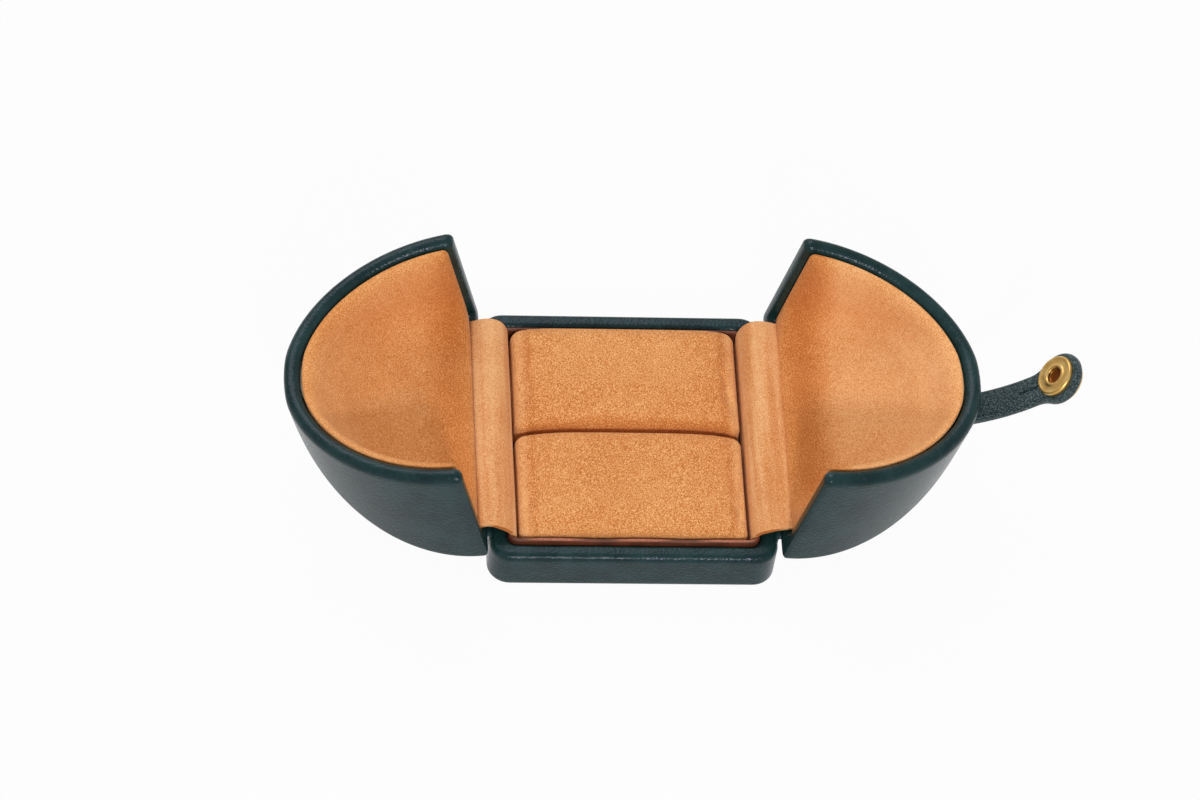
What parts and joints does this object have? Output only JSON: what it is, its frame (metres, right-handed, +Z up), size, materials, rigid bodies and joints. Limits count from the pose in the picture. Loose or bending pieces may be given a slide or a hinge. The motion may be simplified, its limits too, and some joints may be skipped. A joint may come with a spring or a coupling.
{
  "type": "ring display box",
  "caption": "Leather ring box with a suede-cushioned base tray, two half-dome lids that hinge open to the sides and a snap strap that holds them shut.",
  "frame": {"origin": "centre of the base's underside, where the box stands", "axes": "X runs from the left hinge to the right hinge, along the open box's length; Y runs from front to back; Z is up"},
  "size_m": [0.1655, 0.062, 0.0404],
  "materials": {
    "green_leather": "smooth grain, satin",
    "tan_suede": "suede nap",
    "brown_leather": "smooth, matte",
    "board": "raw board",
    "foam": "foam",
    "brass": "polished"
  },
  "bodies": {
    "base": {"base_board": "board", "base_cover": "green_leather", "underside_panel": "tan_suede", "tray_band": "brown_leather", "cushion_card": "board", "rear_foam": "foam", "rear_cushion": "tan_suede", "front_foam": "foam", "front_cushion": "tan_suede", "left_hinge_leather": "green_leather", "right_hinge_leather": "green_leather", "left_hinge_suede": "tan_suede", "right_hinge_suede": "tan_suede"},
    "left_lid": {"left_lid_board": "board", "left_lid_cover": "green_leather", "left_lining_former": "board", "left_lid_lining": "tan_suede", "snap_stud": "brass", "stud_rivet": "brass"},
    "right_lid": {"right_lid_board": "board", "right_lid_cover": "green_leather", "right_lining_former": "board", "right_lid_lining": "tan_suede", "strap_anchor": "green_leather"},
    "strap": {"strap_stiffener": "board", "strap_leather": "green_leather", "snap_cap": "brass", "snap_socket": "brass", "snap_spring": "brass"}
  },
  "joints": [
    {"name": "left_lid_hinge", "type": "hinge", "parent": "base", "child": "left_lid", "pos_m": [-0.03, 0, 0.0113], "axis": [0, 1, 0], "range_deg": [0, 105], "deforming": ["left_hinge_leather", "left_hinge_suede"]},
    {"name": "right_lid_hinge", "type": "hinge", "parent": "base", "child": "right_lid", "pos_m": [0.03, 0, 0.0113], "axis": [0, -1, 0], "range_deg": [0, 101], "deforming": ["right_hinge_leather", "right_hinge_suede"]},
    {"name": "strap_flex", "type": "hinge", "parent": "right_lid", "child": "strap", "pos_m": [0.06826, 0, 0.02103], "axis": [0, -1, 0], "range_deg": [-35, 41]}
  ]
}
